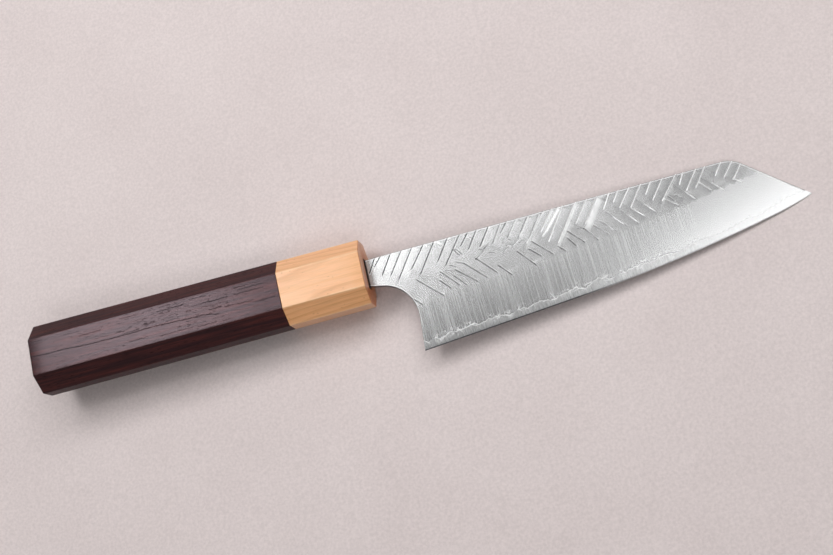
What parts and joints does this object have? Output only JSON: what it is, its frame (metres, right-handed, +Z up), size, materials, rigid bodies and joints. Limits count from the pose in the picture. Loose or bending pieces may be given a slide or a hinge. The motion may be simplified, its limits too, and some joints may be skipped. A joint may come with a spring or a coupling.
{
  "type": "bunka kitchen knife",
  "caption": "Kitchen knife with a tall flat-bellied laminated blade, slanted point, struck herringbone faces and an octagonal wooden handle.",
  "frame": {"origin": "on the surface the knife lies on, under the middle of its outline", "axes": "+X from the butt to the point, +Y from the edge to the spine, +Z up out of the blade's right face"},
  "size_m": [0.3079, 0.0494, 0.0204],
  "materials": {
    "core_steel": "matte ground carbon steel",
    "cladding_steel": "satin, struck near the spine and ground below",
    "pale_wood": "oiled, smooth",
    "rosewood": "oiled, open pored",
    "dowel_wood": "plain, hidden",
    "amber_adhesive": "set adhesive, hidden",
    "black_filler": "set filler, satin"
  },
  "bodies": {
    "root": {"core_steel": "core_steel", "cladding_right": "cladding_steel", "cladding_left": "cladding_steel", "ferrule": "pale_wood", "handle_body": "rosewood", "tang_dowel": "dowel_wood", "tang_bedding": "amber_adhesive", "mouth_seal": "black_filler"}
  },
  "joints": []
}
